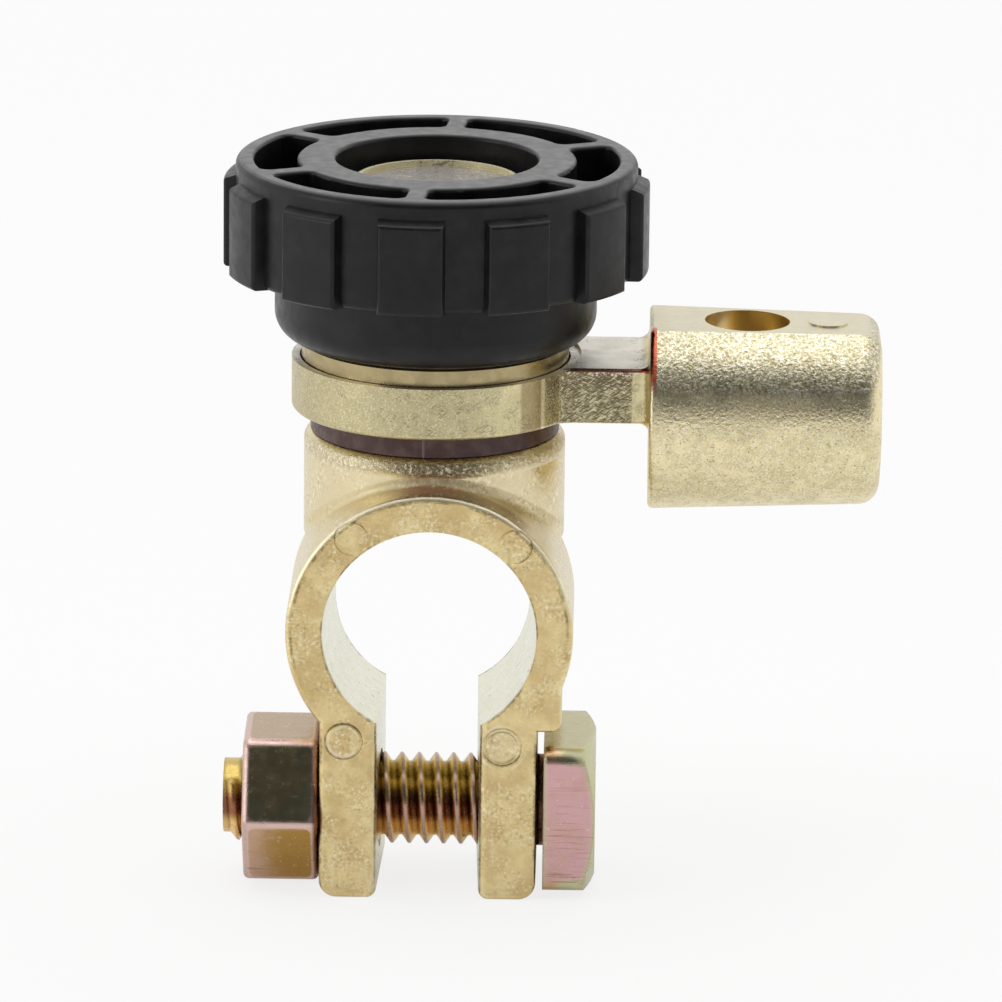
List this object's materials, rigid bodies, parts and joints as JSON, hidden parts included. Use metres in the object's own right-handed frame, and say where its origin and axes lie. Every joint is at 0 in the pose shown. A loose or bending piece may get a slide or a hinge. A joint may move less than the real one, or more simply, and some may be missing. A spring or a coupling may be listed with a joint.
{
  "type": "battery disconnect switch",
  "caption": "Battery post clamp with a hand knob on top that screws down to join an insulated cable arm and socket to the clamp.",
  "frame": {"origin": "where the hand knob's axis crosses the axis of the battery post's bore", "axes": "+Z along the knob's axis, from the post towards the knob; -Y out of the post bore's wide end, towards the battery; +X along the cable arm, towards its socket's mouth"},
  "size_m": [0.0572, 0.0368, 0.0626],
  "materials": {
    "cast_brass": "cast, tumbled",
    "cast_brass_arm": "cast, coarse grain",
    "turned_brass": "turned, bright",
    "insulator": "satin",
    "black_plastic": "satin, fine grain",
    "plated_steel": "yellow zinc plate"
  },
  "bodies": {
    "clamp": {"clamp_body": "cast_brass", "insulating_bush": "insulator", "upper_insulating_washer": "insulator", "retaining_washer": "turned_brass"},
    "arm": {"cable_arm": "cast_brass_arm"},
    "contact": {"contact_disc": "turned_brass"},
    "knob": {"hand_knob": "black_plastic", "knob_stud": "turned_brass"},
    "bolt": {"clamp_bolt": "plated_steel"},
    "nut": {"clamp_nut": "plated_steel"}
  },
  "joints": [
    {"name": "arm_swivel", "type": "hinge", "parent": "clamp", "child": "arm", "pos_m": [0, 0, 0.0193], "axis": [0, 0, 1], "continuous": true},
    {"name": "knob_lift", "type": "slide", "parent": "clamp", "child": "contact", "axis": [0, 0, 1], "range_m": [0, 0.00625]},
    {"name": "knob_turn", "type": "hinge", "parent": "contact", "child": "knob", "pos_m": [0, 0, 0.02295], "axis": [0, 0, 1], "range_deg": [0, 1800]},
    {"name": "bolt_slide", "type": "slide", "parent": "clamp", "child": "bolt", "axis": [1, 0, 0], "range_m": [0, 0.0075]},
    {"name": "nut_turn", "type": "hinge", "parent": "clamp", "child": "nut", "pos_m": [-0.0127, -0.0081, -0.0167], "axis": [-1, 0, 0], "range_deg": [0, 1800]}
  ],
  "couplings": [
    {"joint": "knob_turn", "follows": "knob_lift", "rad_per_m": 5026.5},
    {"joint": "nut_turn", "follows": "bolt_slide", "rad_per_m": 4188.7}
  ]
}
